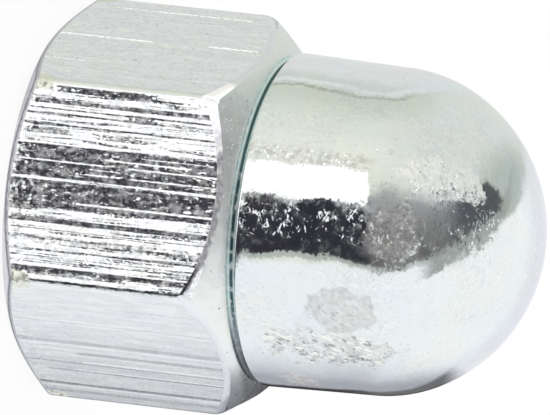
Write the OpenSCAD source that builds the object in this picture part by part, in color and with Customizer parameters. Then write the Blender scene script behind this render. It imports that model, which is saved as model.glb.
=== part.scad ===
// Cap nut: a hexagon with a blind threaded bore, closed by a tall round-ended dome.
// The axis is Z, the bearing face lies on z = 0 and the dome points up.
// Two corners of the hexagon lie on X, and two flats face Y.

/* [Hexagon] */
// Width across the flats, which is the spanner size
across_flats = 13; // [12.8:0.1:17]
// Height at which each flat runs out at its middle
flat_h = 8.2; // [5:0.1:12]
// How much rounding takes off the reach of the six long corners
corner_trim = 0.05; // [0.01:0.01:0.3]
// How far the bearing face stops short of the flats
bearing_inset = 0.1; // [0.05:0.05:0.6]
// Angle between the bearing face and the chamfer round it, in degrees
bearing_chamfer = 35; // [15:1:45]
// Angle between the flats' upper ends and the bearing plane, in degrees
crown_chamfer = 39; // [15:1:45]

/* [Groove] */
// Width of the round-bottomed groove turned round the foot of the dome
groove_w = 0.35; // [0.2:0.05:0.8]
// How far the chamfered crown stops inside the foot of the dome
crown_set = 0.1; // [0:0.05:0.3]

/* [Dome] */
// Diameter of the dome at its foot
dome_d = 12.38; // [10:0.02:12.6]
// Slope of the dome's side towards the axis, in degrees
dome_taper = 1.6; // [0:0.1:4]
// Length of the dome's straight tapered side
side_h = 4.2; // [1:0.1:12]
// Height of the dome's rounded end
nose_h = 5.6; // [4:0.1:7]
// Radius of the bend between the straight side and the tip
shoulder_r = 5.2; // [2:0.1:5.4]
// Radius that rounds the dome's lower rim
lip_r = 0.08; // [0.02:0.02:0.2]

/* [Bore] */
// Nominal diameter of the thread
thread_d = 8; // [6:0.5:8.5]
// Pitch of the thread, which sets how far its crests stand in
thread_pitch = 1.25; // [0.75:0.25:1.5]
// Metal left between the drill point and the top of the dome
tip_wall = 3.7; // [1.5:0.1:6]
// Angle of the drill point at the blind end, in degrees
point_angle = 118; // [90:1:140]
// How far the countersink at the mouth stands out past the thread
sink_over = 0.35; // [0.1:0.05:0.8]
// Angle of the countersink at the mouth, in degrees
sink_angle = 90; // [60:5:120]

/* [Hidden] */
$fn = 96;
// Overlap that lets one cut run clear of the next
eps = 0.01;

// Hexagon
flat_r = across_flats / 2;
sharp_corner_r = flat_r / cos(30);
corner_r = sharp_corner_r - corner_trim;
bearing_r = flat_r - bearing_inset;

// Foot of the dome, from where the crown's cone ends
dome_foot_r = dome_d / 2;
crown_r = dome_foot_r - crown_set;
crown_z = flat_h + (flat_r - crown_r) * tan(crown_chamfer);
foot_z = crown_z + groove_w;
groove_r = groove_w / 2;

// Rounded end: a shoulder arc tangent to the side, and a tip arc tangent to the shoulder
shoulder_z = foot_z + side_h;
side_end_r = dome_foot_r - side_h * tan(dome_taper);
total_h = shoulder_z + nose_h;
shoulder_arc = min(shoulder_r, side_end_r - 0.3, nose_h - 0.2);
shoulder_centre = [side_end_r - shoulder_arc * cos(dome_taper), shoulder_z - shoulder_arc * sin(dome_taper)];
arc_rise = total_h - shoulder_centre[1];
tip_arc = (pow(shoulder_centre[0], 2) + pow(arc_rise, 2) - pow(shoulder_arc, 2)) / (2 * (arc_rise - shoulder_arc));
tip_centre_z = total_h - tip_arc;
tip_half_angle = atan2(shoulder_centre[0], shoulder_centre[1] - tip_centre_z);

// Bore, measured down from the top of the dome
bore_r = (thread_d - 1.0825 * thread_pitch) / 2;
point_h = bore_r / tan(point_angle / 2);
bore_depth = total_h - tip_wall - point_h;
sink_r = thread_d / 2 + sink_over;
sink_depth = (sink_r - bore_r) / tan(sink_angle / 2);

// Half section of the turned form that rounds the hexagon's corners, cuts its ends and leaves the groove
module turned_section() {
    difference() {
        polygon([
            [0, 0],
            [bearing_r, 0],
            [corner_r, (corner_r - bearing_r) * tan(bearing_chamfer)],
            [corner_r, flat_h - (corner_r - flat_r) * tan(crown_chamfer)],
            [crown_r, crown_z],
            [crown_r, foot_z],
            [0, foot_z]
        ]);
        translate([crown_r, crown_z + groove_r]) circle(r = groove_r);
    }
}

// Half section of the dome: straight side, shoulder arc and tip arc, which meet tangentially
module dome_section() {
    intersection() {
        union() {
            difference() {
                polygon([
                    [0, foot_z],
                    [dome_foot_r, foot_z],
                    [side_end_r, shoulder_z],
                    shoulder_centre,
                    [0, shoulder_centre[1]]
                ]);
                translate([dome_foot_r - lip_r, foot_z]) square([2 * lip_r, lip_r]);
            }
            translate([dome_foot_r - lip_r, foot_z + lip_r]) circle(r = lip_r);
            translate(shoulder_centre) circle(r = shoulder_arc);
            intersection() {
                translate([0, tip_centre_z]) circle(r = tip_arc);
                polygon([
                    [0, tip_centre_z],
                    [0, total_h + tip_arc],
                    [2 * tip_arc * sin(tip_half_angle), tip_centre_z + 2 * tip_arc * cos(tip_half_angle)]
                ]);
            }
        }
        translate([0, foot_z]) square([dome_foot_r, total_h]);
    }
}

// Half section of the blind bore: countersink, threaded wall at its crests, drill point
module bore_section() {
    polygon([
        [0, -eps],
        [sink_r + eps * tan(sink_angle / 2), -eps],
        [bore_r, sink_depth],
        [bore_r, bore_depth],
        [0, bore_depth + point_h]
    ]);
}

module cap_nut() {
    color([0.80, 0.83, 0.85])
        difference() {
            union() {
                intersection() {
                    cylinder(h = foot_z, r = sharp_corner_r, $fn = 6);
                    rotate_extrude() turned_section();
                }
                rotate_extrude() dome_section();
            }
            rotate_extrude() bore_section();
        }
}

cap_nut();
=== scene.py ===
"""The looks of a zinc-plated steel cap nut: drawn flats, a turned and tumbled dome, a cut thread."""
import math
from types import SimpleNamespace

import bpy
from mathutils import Matrix, Vector


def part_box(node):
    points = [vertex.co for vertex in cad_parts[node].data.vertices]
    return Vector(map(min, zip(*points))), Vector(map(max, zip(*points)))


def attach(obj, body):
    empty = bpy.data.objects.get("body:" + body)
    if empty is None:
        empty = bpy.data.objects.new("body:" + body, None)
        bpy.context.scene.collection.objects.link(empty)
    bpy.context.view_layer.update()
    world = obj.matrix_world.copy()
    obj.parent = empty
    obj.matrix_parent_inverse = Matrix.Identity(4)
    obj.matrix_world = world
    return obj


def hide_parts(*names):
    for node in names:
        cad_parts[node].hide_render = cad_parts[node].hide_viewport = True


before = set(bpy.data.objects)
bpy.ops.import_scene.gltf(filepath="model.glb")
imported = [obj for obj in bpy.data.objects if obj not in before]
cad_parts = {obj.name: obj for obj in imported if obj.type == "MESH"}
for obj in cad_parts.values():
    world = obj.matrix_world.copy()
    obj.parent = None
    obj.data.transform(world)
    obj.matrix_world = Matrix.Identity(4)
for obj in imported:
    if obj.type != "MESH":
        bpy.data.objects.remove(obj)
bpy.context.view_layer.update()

MM = 0.001
DEG = math.pi / 180

# Sizes of the nut, in millimetres
LOW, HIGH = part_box("cap_nut")
TOTAL_H = (HIGH.z - LOW.z) / MM
FLAT_R = (HIGH.y - LOW.y) / MM / 2
FLAT_H = 8.2
CROWN_SLOPE = 39 * DEG
FOOT_R = 6.19
CROWN_SET = 0.1
CROWN_R = FOOT_R - CROWN_SET
GROOVE_R = 0.175
TAPER = 1.6 * DEG
SIDE_H = 4.2
SHOULDER_R = 5.2

# The chamfer round the bearing face, a little flatter and wider than the solid's
BEARING_SLOPE = 30 * DEG
BEARING_INSET = 0.15

# Derived heights and radii of the dome
CROWN_Z = FLAT_H + (FLAT_R - CROWN_R) * math.tan(CROWN_SLOPE)
FOOT_Z = CROWN_Z + 2 * GROOVE_R
SHOULDER_Z = FOOT_Z + SIDE_H
SIDE_END_R = FOOT_R - SIDE_H * math.tan(TAPER)
SHOULDER_X = SIDE_END_R - SHOULDER_R * math.cos(TAPER)
SHOULDER_Y = SHOULDER_Z - SHOULDER_R * math.sin(TAPER)
ARC_RISE = TOTAL_H - SHOULDER_Y
TIP_R = (SHOULDER_X ** 2 + ARC_RISE ** 2 - SHOULDER_R ** 2) / (2 * (ARC_RISE - SHOULDER_R))
TIP_Z = TOTAL_H - TIP_R

# A turn on the dome is read as millimetres along a circle of this radius
ARC_R = 6.0

# The thread, M8 x 1.25, and the bore that holds it
PITCH = 1.25
MAJOR_R = 4.0
MINOR_R = MAJOR_R - 0.54125 * PITCH
SINK_OVER = 0.35
TIP_WALL = 3.7
POINT_Z = TOTAL_H - TIP_WALL
POINT_ANGLE = 118 * DEG
TURNS = 11
RINGS_PER_TURN = 4

# Heights at which the scores of the die are read at the two ends of a flat
LOW_END = 0.3
HIGH_END = 7.8

# The mesh: how many columns go round it, how close points are merged, and what counts as a sharp edge
COLUMNS = 480
MERGE_DISTANCE = 2e-7
SHARP_EDGE = 24 * DEG

# What the tree that makes the nut's skin takes as its named inputs
NUT_SIZES = {
    "Flat radius": FLAT_R,
    "Flat height": FLAT_H,
    "Corner round": 0.33,
    "Low edge round": 0.22,
    "High edge round": 0.28,
    "Corner wear": 0.5,
    "Crown swell": 0.03,
    "Low side swell": 0.15,
    "Score depth": 0.012,
    "Bearing radius": FLAT_R - BEARING_INSET,
    "Crown radius": CROWN_R,
    "Groove radius": GROOVE_R,
    "Foot radius": FOOT_R,
    "Lip radius": 0.08,
    "Side height": SIDE_H,
    "Side end radius": SIDE_END_R,
    "Shoulder radius": SHOULDER_R,
    "Shoulder centre": SHOULDER_X,
    "Shoulder height": SHOULDER_Y,
    "Tip radius": TIP_R,
    "Tip height": TIP_Z,
    "Thread radius": MAJOR_R,
    "Thread pitch": PITCH,
    "Bore radius": MINOR_R,
    "Sink radius": MAJOR_R + SINK_OVER,
    "Thread depth": 11.5,
    "Bore depth": POINT_Z - MINOR_R / math.tan(POINT_ANGLE / 2),
    "Point height": POINT_Z,
    "Seed": 4.0,
}

# The camera, as the photograph has it: the nut's axis lies across the picture
CAMERA_ELEVATION = 16.784 * DEG
CAMERA_BEARING = 3.665 * DEG
CAMERA_ROLL = 6.387 * DEG
CAMERA_DISTANCE = 434.4 * MM
CAMERA_OFFSET = (-0.511 * MM, 0.460 * MM)
PICTURE_WIDTH = 550
FOCAL_PIXELS = 11759.8
SENSOR_MM = 36
LENS_MM = FOCAL_PIXELS * SENSOR_MM / PICTURE_WIDTH
AIM_Z = 9 * MM

# Half of the floor's side, in metres, and how much light of its own it gives up for the shadow
FLOOR_HALF = 3.0
FLOOR_SHADE = 0.1

# The card that darkens the metal's low side: its left, right and top, and how far behind the nut it stands
CARD_LEFT = -6 * MM
CARD_RIGHT = 32 * MM
CARD_TOP = 27 * MM
CARD_DEPTH = 15 * MM


class Wire:
    """A socket of a node tree, so that node maths reads as plain expressions."""

    def __init__(self, board, socket):
        self.board = board
        self.socket = socket

    def __add__(self, other):
        return self.board.math("ADD", self, other)

    def __radd__(self, other):
        return self.board.math("ADD", other, self)

    def __sub__(self, other):
        return self.board.math("SUBTRACT", self, other)

    def __rsub__(self, other):
        return self.board.math("SUBTRACT", other, self)

    def __mul__(self, other):
        return self.board.math("MULTIPLY", self, other)

    def __rmul__(self, other):
        return self.board.math("MULTIPLY", other, self)

    def __truediv__(self, other):
        return self.board.math("DIVIDE", self, other)

    def __rtruediv__(self, other):
        return self.board.math("DIVIDE", other, self)

    def __neg__(self):
        return self.board.math("MULTIPLY", self, -1.0)

    def __abs__(self):
        return self.board.math("ABSOLUTE", self)

    def __gt__(self, other):
        return self.board.math("GREATER_THAN", self, other)


class Board:
    """A node tree with one method that adds any node, and short names for the sums used here."""

    def __init__(self, tree):
        self.tree = tree

    def add(self, kind, out=0, settings=None, **values):
        """Adds a node. A value's name is its socket's name with _ for a space, or in1 for input number 1."""
        node = self.tree.nodes.new(kind)
        for name, value in (settings or {}).items():
            setattr(node, name, value)
        for name, value in values.items():
            key = int(name[2:]) if name[:2] == "in" and name[2:].isdigit() else name.replace("_", " ")
            socket = node.inputs[key]
            for each in value if isinstance(value, list) else [value]:
                if isinstance(each, Wire):
                    self.tree.links.new(each.socket, socket)
                else:
                    socket.default_value = each
        return Wire(self, node.outputs[out]) if len(node.outputs) else node

    def math(self, operation, *values):
        named = {f"in{i}": value for i, value in enumerate(values)}
        return self.add("ShaderNodeMath", settings={"operation": operation}, **named)

    def vector(self, operation, *values, **named):
        named.update({f"in{i}": value for i, value in enumerate(values)})
        out = 1 if operation in ("DOT_PRODUCT", "LENGTH") else 0
        return self.add("ShaderNodeVectorMath", out=out, settings={"operation": operation}, **named)

    def join(self, x, y, z):
        return self.add("ShaderNodeCombineXYZ", X=x, Y=y, Z=z)

    def split(self, vector):
        node = self.add("ShaderNodeSeparateXYZ", Vector=vector).socket.node
        return [Wire(self, output) for output in node.outputs]

    def clamp(self, value, low=0.0, high=1.0):
        return self.math("MINIMUM", self.math("MAXIMUM", value, low), high)

    def step(self, value, low, high):
        """Rises smoothly from 0 to 1 as value goes from low to high."""
        settings = {"interpolation_type": "SMOOTHSTEP"}
        return self.add("ShaderNodeMapRange", settings=settings, Value=value, From_Min=low, From_Max=high)

    def curve(self, value, points):
        """A line through points, for a value between -1 and 1."""
        node = self.add("ShaderNodeFloatCurve", Value=value * 0.5 + 0.5).socket.node
        line = node.mapping.curves[0]
        for place, height in points:
            line.points.new(place * 0.5 + 0.5, height * 0.5 + 0.5)
        for point in line.points:
            point.handle_type = "VECTOR"
        node.mapping.update()
        return Wire(self, node.outputs[0]) * 2 - 1

    def noise(self, vector, scale, detail=2.0, roughness=0.5, out=0):
        return self.add("ShaderNodeTexNoise", out=out, Vector=vector, Scale=scale, Detail=detail, Roughness=roughness)

    def mix(self, factor, a, b):
        """Blends two colours."""
        node = self.add("ShaderNodeMix", settings={"data_type": "RGBA"}, in0=factor).socket.node
        for socket, value in ((node.inputs[6], a), (node.inputs[7], b)):
            if isinstance(value, Wire):
                self.tree.links.new(value.socket, socket)
            else:
                socket.default_value = (*value, 1.0)
        return Wire(self, node.outputs[2])


def shader_board(name):
    """A new material with an empty tree, and the board to wire it on."""
    material = bpy.data.materials.new(name)
    material.use_nodes = True
    material.node_tree.nodes.clear()
    return material, Board(material.node_tree)


def millimetres(board):
    """Where a point lies on the nut, in millimetres."""
    return board.vector("SCALE", board.add("ShaderNodeTexCoord", out=3), Scale=1 / MM)


def leaned(board, lean):
    """The surface's normal, leaned by a small vector along the nut's own axes."""
    normal = board.add("ShaderNodeNewGeometry", out=1)
    settings = {"vector_type": "VECTOR", "convert_from": "OBJECT", "convert_to": "WORLD"}
    turned = board.add("ShaderNodeVectorTransform", settings=settings, Vector=lean)
    return board.vector("NORMALIZE", board.vector("ADD", normal, turned))


def scattered(board, place, scale, detail=2.0):
    """A random vector that changes over the surface, about 0.12 long each way and centred on zero."""
    return board.vector("SUBTRACT", board.noise(place, scale, detail, out=1), (0.5, 0.5, 0.5))


def square(value):
    return value * value


def scaled(board, vector, factor):
    return board.vector("SCALE", vector, Scale=factor)


def summed(board, first, *others):
    for other in others:
        first = board.vector("ADD", first, other)
    return first


def band(board, value, start, end, soft):
    """1 between start and end, 0 outside."""
    return board.step(value, start - soft, start + soft) * (1 - board.step(value, end - soft, end + soft))


def strokes(board, place, axis, scale, stretch, level):
    """Short straight scratches that run along one direction."""
    along = board.vector("DOT_PRODUCT", place, axis)
    drawn = board.vector("ADD", place, scaled(board, axis, along * (1 / stretch - 1)))
    return board.step(board.noise(drawn, scale, 1.0), level, level + 0.05)


def pits(board, place, scale, reach, chance):
    """Small round knocks. Gives where they are, and a direction drawn at random for each."""
    cell = board.add("ShaderNodeTexVoronoi", Vector=place, Scale=scale).socket.node
    colour = Wire(board, cell.outputs["Color"])
    picked = board.split(colour)[2] > 1 - chance
    spot = (1 - board.step(Wire(board, cell.outputs["Distance"]), reach * 0.6, reach)) * picked
    return spot, board.vector("SUBTRACT", colour, (0.5, 0.5, 0.5))


def metal(board, colour, roughness, normal):
    """Closes a material as bare bright metal."""
    coat = board.add("ShaderNodeBsdfPrincipled", Base_Color=colour, Metallic=1.0, Roughness=roughness, Normal=normal)
    board.add("ShaderNodeOutputMaterial", Surface=coat)


# Marks of the drawing die on three of the flats, in millimetres: start and end across the flat, lowest and
# highest point along it, and strength
WHOLE = (-1.0, 9.0)
FRONT_DARK = [
    (-3.560, -3.326, 1.5, 5.4, 1.0), (-3.400, -3.330, 5.2, 6.6, 0.9), (-3.051, -2.876, *WHOLE, 0.75),
    (-2.722, -2.672, *WHOLE, 0.9), (-2.760, -2.450, 4.5, 5.4, 0.7), (-2.542, -2.477, -1.0, 5.8, 0.9),
    (-2.542, -2.487, 5.8, 9.0, 0.5), (-2.322, -2.297, *WHOLE, 0.6), (-2.177, -2.062, -1.0, 2.1, 1.0),
    (-2.150, -2.082, 2.0, 9.0, 0.8), (-1.953, -1.923, *WHOLE, 0.5), (-1.950, -1.760, 0.4, 2.3, 0.55),
    (-1.378, -0.170, *WHOLE, 1.0), (-0.060, 0.919, *WHOLE, 1.0), (0.900, 1.080, -1.0, 1.2, 1.0),
    (1.318, 1.500, *WHOLE, 1.0), (1.718, 1.758, *WHOLE, 0.7), (1.967, 2.267, *WHOLE, 0.4),
    (2.462, 2.517, -1.0, 4.6, 0.5), (2.442, 2.527, 4.5, 9.0, 0.9), (2.717, 2.766, *WHOLE, 0.6),
    (2.866, 2.916, *WHOLE, 0.5), (3.116, 3.300, *WHOLE, 1.0), (3.280, 3.420, -1.0, 5.0, 0.6),
    (3.590, 3.700, *WHOLE, 0.9),
]
FRONT_BRIGHT = [
    (-1.040, -0.975, 3.6, 7.0, 1.0), (-0.815, -0.755, 0.4, 3.85, 1.0), (-0.815, -0.745, 4.7, 9.0, 1.0),
    (-0.630, -0.590, 3.2, 4.3, 0.9), (-0.440, -0.380, 2.8, 4.15, 1.0), (-0.440, -0.375, 4.9, 9.0, 0.9),
    (0.655, 0.735, 2.8, 9.0, 1.0), (-1.220, -1.180, 5.2, 7.6, 0.8),
]
UPPER_BRIGHT = [
    (-3.010, -2.930, 1.5, 3.6, 0.9), (-3.010, -2.920, 3.4, 6.9, 1.0), (-2.010, -1.940, 2.4, 2.9, 0.9),
    (-1.860, -1.800, 6.6, 7.4, 0.8), (-1.290, -1.240, 5.1, 7.8, 0.8), (-1.280, -1.230, 0.3, 1.2, 0.8),
    (-0.490, -0.360, 5.9, 7.9, 1.0), (-0.380, -0.250, 0.2, 4.0, 1.0), (1.830, 1.900, 0.4, 2.2, 0.9),
    (1.800, 1.850, 6.0, 7.9, 0.8),
]
LOWER_BRIGHT = [
    (-1.490, -1.420, *WHOLE, 1.0), (-2.090, -2.060, 3.0, 9.0, 0.4), (-1.260, -1.230, *WHOLE, 0.4),
    (0.110, 0.200, *WHOLE, 1.0), (1.170, 1.220, 2.6, 9.0, 1.0), (1.700, 1.740, 2.2, 9.0, 0.7),
    (2.860, 2.900, 0.8, 9.0, 0.5), (0.420, 0.450, *WHOLE, 0.4),
]
LOWER_DARK = [
    (-0.160, 0.070, *WHOLE, 0.45), (0.560, 0.720, 2.4, 9.0, 0.6), (1.260, 1.330, *WHOLE, 0.6),
    (1.780, 1.840, 1.0, 9.0, 0.7), (2.640, 2.780, *WHOLE, 0.7), (-1.380, -1.330, *WHOLE, 0.4),
    (-2.550, -2.500, 4.0, 8.0, 0.3), (3.100, 3.300, *WHOLE, 0.4),
]


def bars(board, across, z, marks):
    """Where a list of marks lies on a flat, each a long straight bar."""
    total = 0.0
    for start, end, low, high, strength in marks:
        bar = band(board, across, start, end, 0.02) * strength
        if (low, high) != WHOLE:
            bar = bar * band(board, z, low, high, 0.15)
        total = total + bar
    return board.clamp(total)


def on_flat(board, place):
    """The flat's number, the height, the place across the flat, and the direction across it."""
    x, y, z = board.split(place)
    turn = board.math("ARCTAN2", x, -y)
    sector = board.math("FLOORED_MODULO", board.math("ROUND", turn / (60 * DEG)), 6.0)
    middle = sector * (60 * DEG)
    across = x * board.math("COSINE", middle) + y * board.math("SINE", middle)
    sideways = board.join(board.math("COSINE", middle), board.math("SINE", middle), 0.0)
    return sector, z, across, sideways


def drawn_zinc():
    """The six flats, drawn through a die before they were plated: long lines along the axis."""
    material, board = shader_board("drawn_zinc")
    place = millimetres(board)
    sector, z, across, sideways = on_flat(board, place)
    front = 1 - (sector > 0.5)
    upper = sector > 4.5
    lower = band(board, sector, 0.5, 1.5, 0.01)

    # Long lines with ragged sides
    lane = board.join(across, sector * 7.3, z * 0.04)
    wide = board.noise(lane, 1.1, 2.0) - 0.5
    fine = board.noise(lane, 6.0, 3.0, 0.6) - 0.5
    torn = board.noise(board.join(across, sector * 5.1, z * 0.3), 5.0, 2.0) - 0.5
    rag = board.noise(board.join(across * 2, sector * 3.1, z * 1.6), 4.0, 2.0) - 0.5
    edge = across + torn * 0.04 + rag * 0.04

    # Rows of knocks, stretched along the axis
    knock = board.noise(board.join(across * 8, sector * 2.3, z * 3.6), 1.0, 2.0)
    dots = board.step(knock, 0.57, 0.63)
    small = board.noise(board.join(across * 15, sector * 1.3, z * 8.0), 1.0, 1.0)
    specks = board.step(small, 0.64, 0.70)
    patchy = board.step(board.noise(place, 0.9, 2.0), 0.38, 0.62)

    plain = wide * 0.12 + fine * 0.14 - across * 0.034 + (specks - dots * patchy) * 0.04
    dashes = bars(board, across + rag * 0.12, z + rag, UPPER_BRIGHT) * board.step(small, 0.38, 0.44)
    stray = dots * board.step(board.noise(lane, 4.0, 1.0), 0.53, 0.58)
    on_upper = fine * 0.2 - (dashes + stray * 0.6) * 1.15 + specks * 0.25 - (knock - 0.5) * 0.3
    on_lower = plain + bars(board, edge, z, LOWER_BRIGHT) * 0.60 - bars(board, edge, z, LOWER_DARK) * 0.30

    dark = bars(board, edge, z + rag * 2, FRONT_DARK)
    bright = bars(board, edge, z + rag * 2, FRONT_BRIGHT)
    busy = board.step(z, 4.6, 6.2)
    inner = 0.35 + 0.65 * board.clamp(band(board, across, -1.4, 1.0, 0.05) + board.step(abs(across), 3.0, 3.1))
    lit = board.clamp(bright + (dots * (0.35 + 0.4 * patchy + 0.25 * busy) + specks * 0.5) * inner)
    faint = board.step(board.noise(lane, 9.0, 2.0), 0.52, 0.59) * board.step(small, 0.38, 0.5)
    on_front = 0.125 - board.clamp(dark - lit) * 0.139 - faint * 0.10 * (1 - dark) + fine * 0.08
    lines = plain + (on_front - plain) * front + (on_upper - plain) * upper + (on_lower - plain) * lower

    # Chipped and stained plating at the ends of the long corners
    corner = board.step(abs(across), 3.05, 3.65) * (1 - board.step(z, 0.9, 1.9))
    chip = board.step(corner + board.noise(place, 2.2, 3.0) * 0.9 - 0.45, 0.35, 0.60)

    near_foot = 1 - board.step(z, 0.6, 1.6)
    speckle = scaled(board, scattered(board, place, 7.0, 3.0), 0.18 + 0.14 * near_foot + 1.3 * chip)
    lean = board.vector("ADD", scaled(board, sideways, -1 * lines), speckle)
    tint = board.noise(board.join(across, sector * 3.7, z * 0.3), 2.0, 2.0)
    colour = board.mix(board.step(tint, 0.35, 0.65), (0.87, 0.885, 0.92), (0.90, 0.91, 0.895))
    streak = board.noise(board.join(across * 4.5, sector * 1.9, z * 0.7), 1.0, 3.0, 0.6)
    colour = board.mix(board.step(streak, 0.60, 0.42) * (0.3 + 0.25 * lower), colour, (0.76, 0.775, 0.79))
    colour = board.mix(chip, colour, (0.88, 0.88, 0.79))
    grey = board.step(board.noise(board.join(across * 3.4, sector, z * 1.9), 1.0, 4.0, 0.65), 0.42, 0.62)
    metal(board, colour, 0.14 + 0.14 * grey + 0.2 * chip, leaned(board, lean))
    return material


# Where the dome was knocked and scuffed: turn in degrees, height, half width and half height in millimetres,
# and how ragged its edge is
DOME_PATCHES = {
    "dented": (-55, 12.9, 0.95, 1.25, 0.9),
    "battered": (-39, 12.2, 0.95, 2.50, 1.5),
    "scuffed": (-112, 16.0, 1.10, 1.30, 1.0),
    "peppered": (-100, 16.8, 1.25, 1.25, 0.5),
    "cluster": (-118, 13.8, 0.40, 0.42, 2.0),
    "flecked": (-15, 10.8, 0.70, 0.75, 1.0),
    "dulled": (-85, 14.7, 1.40, 0.95, 1.0),
}


def arc(turn):
    """A turn in degrees, as millimetres along the dome."""
    return turn * ARC_R * DEG


def patch(board, around, z, ragged, spot):
    """1 inside a patch of the dome with a ragged edge."""
    turn, height, half_width, half_height, raggedness = spot
    reach = board.math("SQRT", square((around - arc(turn)) / half_width) + square((z - height) / half_height))
    return 1 - board.step(reach + ragged * raggedness, 0.80, 1.05)


def dome_marks(board, place):
    """The dome's worn places as masks from 0 to 1, with the scratches and knocks that lie in them."""
    x, y, z = board.split(place)
    around = board.math("ARCTAN2", y, x) * ARC_R
    ragged = (board.noise(place, 1.3, 4.0, 0.6) - 0.5) * 1.6
    patches = {name: patch(board, around, z, ragged, spot) for name, spot in DOME_PATCHES.items()}
    marks = SimpleNamespace(**patches)
    marks.fringe = band(board, around, arc(-112), arc(-106.5), 0.15) * (1 - board.step(z, 13.2, 13.9))
    marks.mottle = board.step(board.noise(place, 4.5, 3.0, 0.6), 0.44, 0.60)
    marks.patchy = board.step(board.noise(place, 0.45, 2.0), 0.36, 0.62)
    beaten = band(board, around, arc(-91), arc(-80.5), 0.25) * (0.75 + 0.25 * marks.patchy)
    marks.beaten = beaten * (1 - 0.65 * board.step(z, 15.2, 16.2))
    marks.smeared = band(board, around, arc(-94), arc(-77), 0.15)

    # Scratches in three directions, and knocks in two sizes
    marks.steep = strokes(board, place, (0.87, 0.05, -0.49), 14.0, 8.0, 0.585)
    crossing = strokes(board, place, (0.96, 0.0, 0.28), 13.0, 7.0, 0.59)
    level = strokes(board, place, (0.35, 0.10, 0.93), 15.0, 8.0, 0.61)
    marks.scratch = board.math("MAXIMUM", board.math("MAXIMUM", marks.steep, crossing), level)
    marks.spot, marks.spot_way = pits(board, place, 5.0, 0.26, 0.30)
    marks.thick, marks.thick_way = pits(board, place, 7.0, 0.34, 0.75)
    return marks


def dome_lean(board, place, marks):
    """How the dome's normal leans in its waves, scratches, knocks and dents."""
    x, y, z = board.split(place)
    dented, battered, scuffed, peppered = marks.dented, marks.battered, marks.scuffed, marks.peppered
    broad = scaled(board, scattered(board, place, 0.35, 1.0), 0.10)
    waves = scaled(board, scattered(board, place, 1.1, 1.0), 0.06)
    coarse = 0.05 + 0.3 * dented + 0.7 * battered + 0.4 * scuffed + 0.4 * marks.dulled
    grain = scaled(board, scattered(board, place, 7.0, 3.0), coarse)

    # Scratches are thick in some places and thin in others
    worn_share = 0.03 + marks.patchy * 0.05 + 0.85 * marks.beaten
    share = board.clamp(worn_share + 0.3 * peppered + 0.3 * scuffed + 0.35 * marks.dulled)
    flip = board.math("SIGN", board.noise(place, 2.0, 1.0) - 0.5)
    depth = marks.scratch * share * board.step(board.noise(place, 3.2, 1.0), 0.34, 0.66)
    nicks = board.join(0.30 * depth * (flip + (1 - flip) * peppered), 0.0, 0.12 * depth)
    fine = scaled(board, scattered(board, place, 5.0, 4.0), 0.55 * marks.beaten)
    dents = scaled(board, scattered(board, place, 1.8, 2.0), 0.25 * dented + 0.6 * battered + 0.3 * marks.dulled)

    knocked = board.clamp(share * 0.8 + marks.cluster)
    knocks = scaled(board, marks.spot_way, 0.55 * marks.spot * knocked)
    pitted = board.clamp(0.25 * peppered + 0.3 * scuffed + marks.cluster)
    peppering = scaled(board, marks.thick_way, 0.7 * marks.thick * pitted)
    foot_share = marks.thick * marks.mottle * board.clamp(scuffed + marks.cluster) * (1 - peppered)
    foot_side = scaled(board, (0.0, 0.0, -0.62), foot_share)
    toward_low_side = 0.17 * marks.fringe * marks.thick + 0.30 * peppered * marks.spot
    toward_lamp = board.join(toward_low_side, 0.0, scuffed * (-0.22 - 0.4 * marks.steep))

    # The rounded lower rim faces outwards
    outward = board.vector("NORMALIZE", board.join(x, y, 0.0))
    lip = scaled(board, outward, 2 - 2 * board.step(z, FOOT_Z + 0.05, FOOT_Z + 0.12))
    return summed(board, broad, waves, grain, nicks, fine, dents, knocks, peppering, foot_side, toward_lamp, lip)


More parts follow.
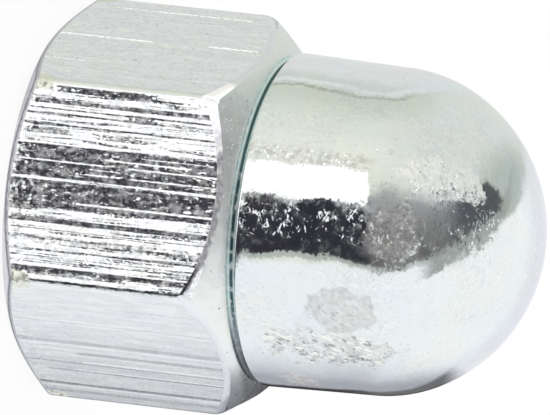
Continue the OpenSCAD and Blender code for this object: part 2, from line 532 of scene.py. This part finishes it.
def dome_colour(board, place, marks):
    """The dome's plating: stained and clouded, grey where it is dented, and whiter where it is scuffed, which is a
    painted highlight.
    """
    dented, battered, scuffed, cluster = marks.dented, marks.battered, marks.scuffed, marks.cluster
    stain = board.noise(place, 0.5, 3.0)
    colour = board.mix(board.step(stain, 0.35, 0.65), (0.85, 0.895, 0.92), (0.885, 0.90, 0.875))
    cloud = board.step(board.noise(place, 2.4, 4.0, 0.65), 0.40, 0.62)
    colour = board.mix(cloud * 0.35, colour, (0.80, 0.83, 0.84))
    colour = board.mix(dented * (0.45 + 0.35 * marks.mottle + 0.2 * cloud), colour, (0.68, 0.68, 0.665))
    rim = board.clamp(dented * (1 - dented) * 4)
    colour = board.mix(rim * 0.5, colour, (0.55, 0.56, 0.56))
    colour = board.mix(battered * (0.30 + 0.6 * marks.mottle), colour, (0.67, 0.67, 0.65))

    # Dark gouges and pale beads of plating
    beads = strokes(board, place, (0.35, 0.10, 0.93), 7.0, 3.0, 0.58)
    gouges = strokes(board, place, (0.70, 0.10, 0.70), 7.0, 4.0, 0.60)
    colour = board.mix(board.clamp(battered + 0.5 * dented) * gouges, colour, (0.42, 0.42, 0.42))
    colour = board.mix(battered * beads, colour, (0.97, 0.97, 0.90))
    plain = marks.patchy * (1 - marks.beaten) * (1 - battered)
    colour = board.mix(gouges * plain * 0.35, colour, (0.70, 0.74, 0.75))
    colour = board.mix(beads * plain * 0.5, colour, (0.97, 0.98, 0.97))
    # The scuffed patch is painted whiter: a painted highlight that stands in for its scratches catching the light.
    colour = board.mix(scuffed * (0.4 + 0.6 * marks.mottle), colour, (0.98, 0.98, 0.99))
    colour = board.mix(scuffed * gouges * 0.6, colour, (0.68, 0.69, 0.69))
    colour = board.mix(cluster * gouges * 0.5, colour, (0.62, 0.64, 0.62))
    colour = board.mix(cluster * board.math("MAXIMUM", marks.thick, marks.spot), colour, (1.0, 1.0, 1.0))
    colour = board.mix(marks.fringe * marks.mottle * 0.8, colour, (0.60, 0.60, 0.585))
    colour = board.mix(marks.dulled * 0.4, colour, (0.78, 0.76, 0.75))
    colour = board.mix(marks.scratch * 0.45 * plain, colour, (0.72, 0.74, 0.75))
    colour = board.mix(marks.spot * 0.5 * (1 - marks.beaten), colour, (0.60, 0.64, 0.66))

    # Flecks where the plating lets a warmer layer through
    copper = board.step(board.noise(place, 4.0, 2.0), 0.50, 0.56)
    return board.mix(marks.flecked * copper, colour, (0.80, 0.73, 0.70))


def tumbled_zinc():
    """The dome, turned smooth and then knocked about in the plating barrel."""
    material, board = shader_board("tumbled_zinc")
    place = millimetres(board)
    marks = dome_marks(board, place)
    smear = board.step(board.noise(place, 2.6, 4.0, 0.7), 0.42, 0.66)
    roughness = 0.05 + 0.12 * marks.dented + 0.20 * marks.scuffed + 0.20 * marks.dulled + 0.3 * marks.flecked
    roughness = roughness + 0.05 * marks.patchy + marks.smeared * (0.02 + smear * 0.13)
    metal(board, dome_colour(board, place, marks), roughness, leaned(board, dome_lean(board, place, marks)))
    return material


def turned_zinc():
    """The crown and the bearing face, with fine rings left by the turning tool and knocks from the barrel."""
    material, board = shader_board("turned_zinc")
    place = millimetres(board)
    x, y, z = board.split(place)
    radius = board.math("SQRT", x * x + y * y)
    outward = board.vector("NORMALIZE", board.join(x, y, 0.0))
    rings = board.noise(board.join(radius * 9, z * 9, 0.0), 1.0, 2.0) - 0.5
    waves = scaled(board, scattered(board, place, 1.2, 2.0), 0.12)
    speckle = scaled(board, scattered(board, place, 6.0, 3.0), 0.12)
    spot, way = pits(board, place, 5.5, 0.25, 0.30)
    small_spot, _ = pits(board, place, 8.0, 0.30, 0.6)
    front = board.step(y / radius, -0.80, -0.95)
    toward_lamp = board.join(0.0, 0.0, front * (0.12 - 0.6 * small_spot))
    ringed = scaled(board, outward, rings * 0.05)
    lean = summed(board, ringed, waves, speckle, scaled(board, way, spot * 0.9), toward_lamp)

    # The crown keeps the shine of a plain cone where its low side swells
    cone_side = scaled(board, outward, math.sin(CROWN_SLOPE))
    cone = board.vector("ADD", cone_side, (0.0, 0.0, math.cos(CROWN_SLOPE)))
    high = board.step(z, 4.0, 5.0)
    lean = board.vector("ADD", scaled(board, lean, 1 + 3 * high), scaled(board, cone, 3 * high))

    # The crown is darker on its low side, a painted shade, and paler in front, a painted highlight
    stain = board.noise(place, 0.8, 2.0)
    colour = board.mix(board.step(stain, 0.35, 0.65), (0.85, 0.88, 0.89), (0.88, 0.89, 0.86))
    colour = board.mix(board.step(x / radius, 0.87, 0.985) * high, colour, (0.46, 0.47, 0.48))
    colour = board.mix(front * high, colour, (0.97, 0.97, 0.97))
    rough = board.step(board.noise(place, 1.6, 3.0), 0.40, 0.62)
    metal(board, colour, 0.28 + 0.08 * rough + 0.16 * front * high - 0.14 * spot, leaned(board, lean))
    return material


def worn_zinc():
    """The hexagon's rounded edges, beaten dull where the nuts struck each other."""
    material, board = shader_board("worn_zinc")
    place = millimetres(board)
    x, y, z = board.split(place)
    sector, _, across, sideways = on_flat(board, place)
    front = 1 - (sector > 0.5)
    high = board.step(z, 4.0, 5.0)
    corner = board.step(abs(across), 2.3, 2.9) * high
    bend = scaled(board, sideways, board.math("SIGN", across) * corner * 0.14)

    # The corner that was struck hardest is burnished into one bright facet
    turn = board.math("ARCTAN2", y, x)
    facet = band(board, turn, -129 * DEG, -106 * DEG, 2 * DEG) * high
    facet_way = scaled(board, (-0.168, -0.951, -0.26), facet * 3)
    speckle = scaled(board, scattered(board, place, 5.0, 3.0), (0.3 + 0.5 * front) * (1 - 0.7 * corner))
    # Away from the front flat the edges turn a plainer grey: a painted shade that dims their shine, kept off the
    # burnished facet.
    stain = board.noise(place, 4.5, 3.0) + 0.2 * (1 - front)
    colour = board.mix(board.step(stain, 0.42, 0.58), (0.76, 0.76, 0.82), (0.97, 0.97, 0.98))
    colour = board.mix((1 - front) * (1 - facet) * 0.6, colour, (0.78, 0.80, 0.84))
    colour = board.mix(1 - high, colour, (0.66, 0.66, 0.70))
    metal(board, colour, 0.42 - 0.26 * corner, leaned(board, summed(board, speckle, bend, facet_way)))
    return material


def groove_zinc():
    """The groove, which keeps more of the blue-green passivation, with painted shade at its bottom and on its low side.
    """
    material, board = shader_board("groove_zinc")
    place = millimetres(board)
    x, y, z = board.split(place)
    turn = board.math("ARCTAN2", y, x)
    # A painted shade along the bottom of the groove, tinted blue-green and lighter where it is striped
    depth = 1 - board.step(abs(z - (FOOT_Z - GROOVE_R) + 0.02), 0.03, 0.10)
    stripes = board.noise(board.join(turn * 14, z * 3, 0.0), 1.0, 3.0)
    striped = board.step(stripes, 0.50, 0.64) * board.step(turn, -112 * DEG, -96 * DEG)
    colour = board.mix(board.step(stripes, 0.40, 0.62), (0.80, 0.93, 0.93), (0.93, 0.98, 0.98))
    colour = board.mix(depth * (0.97 - 0.6 * striped), colour, (0.03, 0.09, 0.10))
    # A painted shade on the groove's low side, deepening from -50 to -15 degrees of turn
    low_side = board.mix(board.step(turn, -50 * DEG, -15 * DEG), (0.40, 0.45, 0.50), (0.12, 0.13, 0.15))
    colour = board.mix(band(board, turn, -44 * DEG, 20 * DEG, 12 * DEG) * 0.85, colour, low_side)
    speckle = scaled(board, scattered(board, place, 6.0, 2.0), 0.4)
    metal(board, colour, 0.45, leaned(board, speckle))
    return material


def cut_steel():
    """The thread and the drill point, cut bright and thinly plated."""
    material, board = shader_board("cut_steel")
    place = millimetres(board)
    x, y, z = board.split(place)
    lay = board.noise(board.join(board.math("ARCTAN2", y, x) * 0.8, z * 14, 0.0), 1.0, 3.0) - 0.5
    speckle = scaled(board, scattered(board, place, 4.0, 2.0), 0.25)
    lean = board.vector("ADD", speckle, board.join(0.0, 0.0, lay * 0.12))
    stain = board.noise(place, 1.5, 3.0)
    colour = board.mix(board.step(stain, 0.38, 0.64), (0.62, 0.63, 0.64), (0.78, 0.80, 0.82))
    metal(board, colour, 0.24, leaned(board, lean))
    return material


def named_inputs(tree, sizes):
    """Gives a tree a named input for each size, and returns their wires under the same names."""
    for name, value in sizes.items():
        tree.interface.new_socket(name, in_out="INPUT", socket_type="NodeSocketFloat").default_value = value
    node = tree.nodes.new("NodeGroupInput")
    board = Board(tree)
    wires = {name.lower().replace(" ", "_"): Wire(board, node.outputs[name]) for name in sizes}
    return SimpleNamespace(**wires)


def polar_band(board, rings, finish, shape):
    """A grid bent into a ring of the nut: shape gives radius, height and turn from the grid's own two shares."""
    grid = board.add("GeometryNodeMeshGrid", Size_X=1.0, Size_Y=1.0, Vertices_X=COLUMNS + 1, Vertices_Y=rings + 1)
    u, v, _ = board.split(Wire(board, grid.socket.node.outputs["UV Map"]))
    radius, height, turn = shape(u, v)
    place = board.join(radius * board.math("COSINE", turn) * MM, radius * board.math("SINE", turn) * MM, height * MM)
    placed = board.add("GeometryNodeSetPosition", Geometry=grid, Position=place)
    settings = {"data_type": "INT", "domain": "FACE"}
    return board.add("GeometryNodeStoreNamedAttribute", settings=settings, Geometry=placed, Name="finish", Value=finish)


def hexagon_reach(board, size, u, height):
    """Radius and turn of the hexagon's outline at share u of the way round, with rounded corners."""
    flat_share = 0.9
    sector = board.math("FLOOR", u * 6)
    local = (u * 6 - sector) * 2 - 1
    side = board.math("SIGN", local)
    past = board.clamp((abs(local) - flat_share) / (1 - flat_share))
    bend = past * (30 * DEG)
    inner = size.flat_radius - size.corner_round
    along = board.clamp(abs(local) / flat_share) * inner * math.tan(30 * DEG)
    x = inner + size.corner_round * board.math("COSINE", bend)
    y = side * (along + size.corner_round * board.math("SINE", bend))
    lane = board.join(side * along, sector * 7.3 + size.seed, height * 0.04)
    score = (board.noise(lane, 0.9, 2.0) + board.noise(lane, 3.0, 2.0) * 0.4) * size.score_depth * (1 - past)
    radius = board.math("SQRT", x * x + y * y) - score
    turn = board.math("ARCTAN2", y, x) + (sector * 60 + 30) * DEG
    return radius, turn


def eased(board, v):
    """Crowds the rings towards both ends of a band, so that its edges stay crisp."""
    return 0.5 - 0.5 * board.math("COSINE", v * math.pi)


def nut_bands(board, size):
    """The rings that make the nut's skin, from the mouth up the outside and down the bore."""
    low_turn = 90 * DEG - BEARING_SLOPE
    high_turn = 90 * DEG - CROWN_SLOPE
    low_seat = size.low_edge_round * math.tan(low_turn / 2)
    crown_z = size.flat_height + (size.flat_radius - size.crown_radius) * math.tan(CROWN_SLOPE)
    foot_z = crown_z + size.groove_radius * 2
    tip_angle = board.math("ARCTAN2", size.shoulder_height - size.tip_height, size.shoulder_centre)

    def around(centre, height, reach, angle):
        return centre + reach * board.math("COSINE", angle), height + reach * board.math("SINE", angle)

    def plain_turn(u):
        return hexagon_reach(board, size, u, 4.0)[1]

    def crown_edge(radius):
        return size.flat_height - (radius - size.flat_radius) * math.tan(CROWN_SLOPE)

    def bearing_edge(radius):
        return (radius - size.bearing_radius) * math.tan(BEARING_SLOPE)

    def worn(u):
        local = (u * 6 - board.math("FLOOR", u * 6)) * 2 - 1
        return size.high_edge_round + size.corner_wear * square(square(local))

    def bearing_face(u, v):
        return size.sink_radius + (size.bearing_radius - size.sink_radius) * v, 0.0, plain_turn(u)

    def bearing_chamfer(u, v):
        reach, turn = hexagon_reach(board, size, u, LOW_END)
        end = reach - size.low_edge_round * (1 - math.cos(low_turn))
        radius = size.bearing_radius + (end - size.bearing_radius) * v
        return radius, bearing_edge(radius), turn

    def low_edge(u, v):
        reach, turn = hexagon_reach(board, size, u, LOW_END)
        seat = bearing_edge(reach) + low_seat
        return *around(reach - size.low_edge_round, seat, size.low_edge_round, (v - 1) * low_turn), turn

    def flat(u, v):
        reach, turn = hexagon_reach(board, size, u, LOW_END + v * (HIGH_END - LOW_END))
        start = bearing_edge(hexagon_reach(board, size, u, LOW_END)[0]) + low_seat
        end = crown_edge(hexagon_reach(board, size, u, HIGH_END)[0]) - worn(u) * math.tan(high_turn / 2)
        return reach, start + (end - start) * v, turn

    def high_edge(u, v):
        reach, turn = hexagon_reach(board, size, u, HIGH_END)
        seat = crown_edge(reach) - worn(u) * math.tan(high_turn / 2)
        return *around(reach - worn(u), seat, worn(u), v * high_turn), turn

    def crown(u, v):
        reach, turn = hexagon_reach(board, size, u, HIGH_END)
        start = reach - worn(u) * (1 - math.cos(high_turn))
        radius = start + (size.crown_radius - start) * eased(board, v)
        share = eased(board, v)
        low_side = board.step(board.math("COSINE", turn), 0.75, 1.0)
        swell = (size.crown_swell + size.low_side_swell * low_side) * 4 * share * (1 - share)
        return radius + swell * math.sin(CROWN_SLOPE), crown_edge(radius) + swell * math.cos(CROWN_SLOPE), turn

    def groove(u, v):
        angle = (1.5 - v) * math.pi
        return *around(size.crown_radius, crown_z + size.groove_radius, size.groove_radius, angle), plain_turn(u)

    def foot(u, v):
        end = size.foot_radius - size.lip_radius
        return size.crown_radius + (end - size.crown_radius) * v, foot_z, plain_turn(u)

    def lip(u, v):
        centre = size.foot_radius - size.lip_radius
        return *around(centre, foot_z + size.lip_radius, size.lip_radius, (v - 1) * (90 * DEG)), plain_turn(u)

    def side(u, v):
        height = foot_z + size.lip_radius + (size.side_height - size.lip_radius) * v
        return size.foot_radius + (size.side_end_radius - size.foot_radius) * v, height, plain_turn(u)

    def shoulder(u, v):
        angle = TAPER + (tip_angle - TAPER) * v
        return *around(size.shoulder_centre, size.shoulder_height, size.shoulder_radius, angle), plain_turn(u)

    def tip(u, v):
        angle = tip_angle + (90 * DEG - tip_angle) * v
        return *around(0.0, size.tip_height, size.tip_radius, angle), plain_turn(u)

    # Four rings to a turn: two edges of the thread's crest and two of its root, in sixteenths of the pitch
    def thread(u, v):
        turn = plain_turn(u)
        ring = board.math("ROUND", v * (TURNS * RINGS_PER_TURN))
        lap = board.math("FLOOR", (ring + 0.01) / RINGS_PER_TURN)
        place = ring - lap * RINGS_PER_TURN
        phase = (5 * (place > 0.5) + 4 * (place > 1.5) + 5 * (place > 2.5)) / 16
        rise = (lap + phase - 1) * size.thread_pitch + turn * size.thread_pitch / (2 * math.pi)
        height = board.clamp(rise, 0.0, size.thread_depth)
        offset = (abs(phase - 7 / 16) - 1 / 8) * size.thread_pitch
        cut = board.clamp(offset * math.sqrt(3), 0.0, size.thread_radius - size.bore_radius)
        fade = board.clamp((size.thread_depth - height) / size.thread_pitch)
        return board.math("MAXIMUM", size.bore_radius + cut * fade, size.sink_radius - height), height, turn

    def run_out(u, v):
        height = size.thread_depth + (size.bore_depth - size.thread_depth) * v
        return size.bore_radius, height, plain_turn(u)

    def drill_point(u, v):
        height = size.bore_depth + (size.point_height - size.bore_depth) * v
        return size.bore_radius * (1 - v), height, plain_turn(u)

    outside = [
        (bearing_face, 6, 2), (bearing_chamfer, 4, 2), (low_edge, 4, 3), (flat, 30, 0), (high_edge, 6, 3),
        (crown, 10, 2), (groove, 10, 4), (foot, 1, 4), (lip, 5, 1), (side, 12, 1), (shoulder, 28, 1), (tip, 20, 1),
    ]
    inside = [(thread, TURNS * RINGS_PER_TURN, 5), (run_out, 2, 5), (drill_point, 6, 5)]
    return outside, inside


def build_nut():
    """The nut's whole skin from one Geometry Nodes tree, as a plain closed mesh."""
    finishes = [drawn_zinc(), tumbled_zinc(), turned_zinc(), worn_zinc(), groove_zinc(), cut_steel()]
    tree = bpy.data.node_groups.new("nut_form", "GeometryNodeTree")
    board = Board(tree)
    size = named_inputs(tree, NUT_SIZES)
    tree.interface.new_socket("Geometry", in_out="OUTPUT", socket_type="NodeSocketGeometry")
    outside, inside = nut_bands(board, size)
    skins = [polar_band(board, rings, finish, shape) for shape, rings, finish in outside]
    bore = [polar_band(board, rings, finish, shape) for shape, rings, finish in inside]
    bore_skin = board.add("GeometryNodeFlipFaces", Mesh=board.add("GeometryNodeJoinGeometry", Geometry=bore))
    skin = board.add("GeometryNodeJoinGeometry", Geometry=[bore_skin, *skins])
    closed = board.add("GeometryNodeMergeByDistance", Geometry=skin, Distance=MERGE_DISTANCE)
    smooth = board.add("GeometryNodeSetShadeSmooth", Geometry=closed)
    crease = board.add("GeometryNodeInputMeshEdgeAngle") > SHARP_EDGE
    creased = board.add("GeometryNodeSetShadeSmooth", settings={"domain": "EDGE"}, Geometry=smooth,
                        Selection=crease, Shade_Smooth=False)
    real = board.add("GeometryNodeRealizeInstances", Geometry=creased)
    finish = board.add("GeometryNodeInputNamedAttribute", settings={"data_type": "INT"}, Name="finish")
    for number, material in enumerate(finishes):
        chosen = board.math("COMPARE", finish, float(number), 0.5)
        real = board.add("GeometryNodeSetMaterial", Geometry=real, Selection=chosen, Material=material)
    board.add("NodeGroupOutput", Geometry=real)
    return real_mesh("nut", tree, NUT_SIZES)


def real_mesh(name, tree, sizes):
    """Runs a Geometry Nodes tree and returns its result as a plain object, with no modifier left."""
    source = bpy.data.objects.new(name + "_source", bpy.data.meshes.new(name + "_source"))
    bpy.context.scene.collection.objects.link(source)
    modifier = source.modifiers.new("form", "NODES")
    modifier.node_group = tree
    for item in tree.interface.items_tree:
        if item.in_out == "INPUT":
            modifier[item.identifier] = sizes[item.name]
    bpy.context.view_layer.update()
    evaluated = source.evaluated_get(bpy.context.evaluated_depsgraph_get())
    mesh = bpy.data.meshes.new_from_object(evaluated)
    bpy.data.objects.remove(source)
    mesh.attributes.remove(mesh.attributes["finish"])
    piece = bpy.data.objects.new(name, mesh)
    bpy.context.scene.collection.objects.link(piece)
    return piece


def camera_axes():
    """The picture's right and up, and the way back to the camera, in the frame's own axes."""
    out = Vector((math.sin(CAMERA_BEARING), -math.cos(CAMERA_BEARING), 0))
    up_axis = Vector((0, 0, 1))
    back = out * math.cos(CAMERA_ELEVATION) + up_axis * math.sin(CAMERA_ELEVATION)
    right = up_axis * math.cos(CAMERA_ELEVATION) - out * math.sin(CAMERA_ELEVATION)
    up = back.cross(right)
    turn = Matrix.Rotation(CAMERA_ROLL, 3, back)
    return turn @ right, turn @ up, back


def add_camera():
    right, up, back = camera_axes()
    camera = bpy.data.objects.new("camera", bpy.data.cameras.new("camera"))
    bpy.context.scene.collection.objects.link(camera)
    camera.data.sensor_width = SENSOR_MM
    camera.data.lens = LENS_MM
    camera.data.clip_start = 0.01
    camera.data.clip_end = 20
    place = Vector((0, 0, AIM_Z)) + back * CAMERA_DISTANCE + right * CAMERA_OFFSET[0] + up * CAMERA_OFFSET[1]
    turn = Matrix((right, up, back)).transposed()
    camera.matrix_world = Matrix.Translation(place) @ turn.to_4x4()
    bpy.context.scene.camera = camera


def add_floor():
    """A white table that keeps a faint shadow, and that the bright metal doesn't mirror."""
    mesh = bpy.data.meshes.new("floor")
    half = FLOOR_HALF
    corners = [(-half, -half, 0), (half, -half, 0), (half, half, 0), (-half, half, 0)]
    mesh.from_pydata(corners, [], [(0, 1, 2, 3)])
    floor = bpy.data.objects.new("floor", mesh)
    bpy.context.scene.collection.objects.link(floor)
    material, board = shader_board("floor_paper")
    shade = FLOOR_SHADE
    paper = board.add("ShaderNodeBsdfDiffuse", Color=(0.8, 0.8, 0.8, 1))
    faint = board.add("ShaderNodeBsdfDiffuse", Color=(shade, shade, shade, 1))
    glow = board.add("ShaderNodeEmission", Color=(1, 1, 1, 1), Strength=1 - shade)
    seen = board.add("ShaderNodeAddShader", in0=faint, in1=glow)
    plain = board.add("ShaderNodeMixShader", in0=board.add("ShaderNodeLightPath"), in1=paper, in2=seen)
    below = board.add("ShaderNodeNewGeometry", out=6)
    clear = board.add("ShaderNodeBsdfTransparent")
    board.add("ShaderNodeOutputMaterial", Surface=board.add("ShaderNodeMixShader", in0=below, in1=plain, in2=clear))
    mesh.materials.append(material)
    floor.visible_glossy = False


def add_shade():
    """A dark card close behind the nut, which only the bright metal sees, as it would see a shaded table."""
    mesh = bpy.data.meshes.new("shade_card")
    corners = [(CARD_LEFT, 0.0), (CARD_RIGHT, 0.0), (CARD_RIGHT, CARD_TOP), (CARD_LEFT, CARD_TOP)]
    mesh.from_pydata([(x, CARD_DEPTH, z) for x, z in corners], [], [(0, 1, 2, 3)])
    card = bpy.data.objects.new("shade_card", mesh)
    bpy.context.scene.collection.objects.link(card)
    material, board = shader_board("shade_card")
    x, _, z = board.split(millimetres(board))
    top = 17 - 3 * board.step(x, 12.0, 17.0)
    slope = board.math("MAXIMUM", z * 1.35 - 14, 0.0)
    cover = board.step(x, -5.0, 0.0) * (1 - board.step(x, 20.0, 31.5)) * board.step(z, 0.2, 2.5)
    cover = cover * (1 - board.step(z, top, top + 9)) * board.step(x - slope, 0.5, 4.5)
    shade = board.mix(board.step(z, 12.0, 17.0), (0.05, 0.046, 0.052), (0.16, 0.16, 0.17))
    shade = board.mix(board.step(z, 7.0, 9.5) * board.step(x, 6.5, 9.5), shade, (0.17, 0.17, 0.18))
    shade = board.mix(board.step(x - (z - 8) * 0.25, 10.8, 13.5), shade, (0.42, 0.43, 0.47))
    shade = board.mix(board.step(x, 16.0, 27.0), shade, (0.62, 0.64, 0.69))
    dark = board.add("ShaderNodeEmission", Color=shade, Strength=1.0)
    clear = board.add("ShaderNodeBsdfTransparent")
    board.add("ShaderNodeOutputMaterial", Surface=board.add("ShaderNodeMixShader", in0=cover, in1=clear, in2=dark))
    mesh.materials.append(material)
    card.visible_camera = False
    card.visible_diffuse = False
    card.visible_transmission = False
    card.visible_shadow = False


def table_colour(board, a, b):
    """The table and the far side of the room, paler in front and greyer towards the back."""
    rim = a * a + b * b
    table = board.mix(board.step(a, -0.20, 0.25), (0.95, 0.975, 0.995), (0.985, 1.0, 1.0))
    left_low = board.mix(board.step(b, -0.72, -1.02), table, (0.34, 0.35, 0.375))
    right_low = board.mix(board.step(b, -0.70, -1.0) * 0.8, table, (0.62, 0.65, 0.72))
    table = board.mix(board.step(a, -0.16, 0.02), left_low, right_low)
    table = board.mix(board.step(rim, 0.74, 0.93) * board.step(a, 0.1, 0.6), table, (0.86, 0.86, 0.91))
    return board.mix(board.step(b, 0.05, 0.60), table, (0.78, 0.79, 0.79))


def green_wall(board, a, b):
    """The pale green wall's colour, with its glow, its shaded near edge, its ledge and its soffit."""
    colour = board.mix(board.step(a, -0.1, 0.3), (0.81, 0.835, 0.75), (0.765, 0.785, 0.75))
    glow = 1 - board.step(board.math("SQRT", square(a + 0.28) + square((b - 0.45) / 0.35)), 0.1, 0.6)
    colour = board.mix(glow, colour, (0.90, 0.90, 0.82))
    near_edge = board.math("SQRT", square((a - 0.74) / 0.26) + square((b - 0.22) / 0.36))
    colour = board.mix(board.step(near_edge, 1.0, 0.35), colour, (0.51, 0.56, 0.53))
    left = 1 - board.step(a, 0.2, 0.5)
    colour = board.mix(board.step(b, 0.62, 0.78) * left, colour, (0.66, 0.70, 0.61))
    ledge = band(board, b, 0.802, 0.812, 0.005) * (1 - board.step(a, 0.05, 0.3))
    colour = board.mix(ledge, colour, (0.40, 0.42, 0.37))
    soffit = board.mix(board.step(a, -0.1, 0.3), (0.66, 0.69, 0.65), (0.77, 0.81, 0.79))
    colour = board.mix(board.step(b, 0.812, 0.835), colour, soffit)
    seam = band(board, b, 0.83, 0.85, 0.008) * band(board, a, -0.2, 0.2, 0.1)
    colour = board.mix(seam, colour, (0.80, 0.83, 0.80))
    colour = board.mix(board.step(b, 0.86, 0.92), colour, (0.80, 0.81, 0.79))
    foot = (1 - board.step(b, -0.02, 0.14)) * board.step(a, 0.12, 0.32)
    return board.mix(foot, colour, (0.60, 0.645, 0.61))


def with_dark_room(board, a, b, colour):
    """Adds the dark room behind the camera, the shaded wall under it and the lamp's window above it."""
    low_edge = board.curve(a, [
        (-0.3, -0.155), (-0.1, -0.205), (0.05, -0.22), (0.25, -0.18), (0.37, -0.13), (0.5, -0.03),
        (0.62, 0.04), (0.70, 0.12), (0.76, 0.24),
    ])
    high_edge = board.curve(a, [
        (-0.3, 0.168), (-0.13, 0.150), (-0.11, 0.22), (0.0, 0.27), (0.2, 0.21), (0.35, 0.15),
        (0.48, 0.21), (0.56, 0.26), (0.63, 0.295), (0.70, 0.22), (0.76, 0.14),
    ])
    strip = band(board, b, low_edge - 0.035, low_edge + 0.05, 0.006) * (1 - board.step(a, 0.15, 0.3))
    colour = board.mix(strip, colour, (0.50, 0.53, 0.50))
    wedge = band(board, b, low_edge - 0.12, low_edge + 0.02, 0.008) * band(board, a, 0.27, 0.78, 0.06)
    colour = board.mix(wedge, colour, (0.38, 0.41, 0.39))

    soft = 0.004 + 0.06 * band(board, a, -0.1, 0.5, 0.06)
    above = board.step(b, low_edge - 0.004, low_edge + 0.004)
    room = above * (1 - board.step(b, high_edge - soft, high_edge + soft))
    grey = board.mix(board.step(b, -0.12, 0.22), (0.145, 0.14, 0.14), (0.40, 0.40, 0.405))
    grey = board.mix(board.step(a, 0.34, 0.50), grey, (0.10, 0.105, 0.115))
    dark = board.mix(board.step(a, -0.13, -0.095), (0.032, 0.031, 0.042), grey)
    colour = board.mix(room, colour, dark)

    window = band(board, b, high_edge, 0.365, 0.004) * band(board, a, -0.55, -0.125, 0.004)
    return board.mix(window, colour, (1.3, 1.3, 1.3))


def add_world():
    """A white studio. Bright metal also mirrors the dark room behind the camera and one lamp's window.

    A direction is read as the place on a mirror ball that would show it: a to the photograph's right, b up.
    """
    world = bpy.data.worlds.new("studio")
    bpy.context.scene.world = world
    world.use_nodes = True
    world.node_tree.nodes.clear()
    board = Board(world.node_tree)
    right, up, back = camera_axes()
    toward = board.add("ShaderNodeTexCoord", out=0)
    half_way = board.vector("NORMALIZE", board.vector("ADD", toward, tuple(back)))
    a = board.vector("DOT_PRODUCT", half_way, tuple(right))
    b = board.vector("DOT_PRODUCT", half_way, tuple(up))

    # The wall is an oval that leaves the white table below and to the right
    oval = board.math("SQRT", square((board.math("MAXIMUM", a, 0.1) - 0.1) / 0.78) + square((b - 0.36) / 0.58))
    wall = 1 - board.step(oval, 0.965, 1.02)
    colour = board.mix(wall, table_colour(board, a, b), green_wall(board, a, b))
    colour = with_dark_room(board, a, b, colour)

    # What the foot of the nut mirrors: a grey corner, and a pale wall behind it
    colour = board.mix(board.step(a, -0.56, -0.62), colour, (0.30, 0.30, 0.33))
    colour = board.mix(board.step(a, -0.86, -0.91), colour, (0.86, 0.85, 0.90))

    path = board.add("ShaderNodeLightPath").socket.node
    camera, glossy, through = (Wire(board, path.outputs[name]) for name in (
        "Is Camera Ray", "Is Glossy Ray", "Is Transmission Ray"))
    mirrored = board.add("ShaderNodeBackground", Color=colour, Strength=1.0)
    plain = board.add("ShaderNodeBackground", Color=(1, 1, 1, 1), Strength=1.0)
    mirrored_rays = board.math("MAXIMUM", glossy, through)
    lit = board.add("ShaderNodeMixShader", in0=mirrored_rays, in1=plain, in2=mirrored)
    sky = board.add("ShaderNodeMixShader", in0=camera, in1=lit, in2=plain)
    board.add("ShaderNodeOutputWorld", Surface=sky)


add_camera()
add_world()
add_floor()
add_shade()
nut = build_nut()
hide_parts("cap_nut")
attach(nut, "root")

bpy.context.scene.view_settings.view_transform = "Standard"
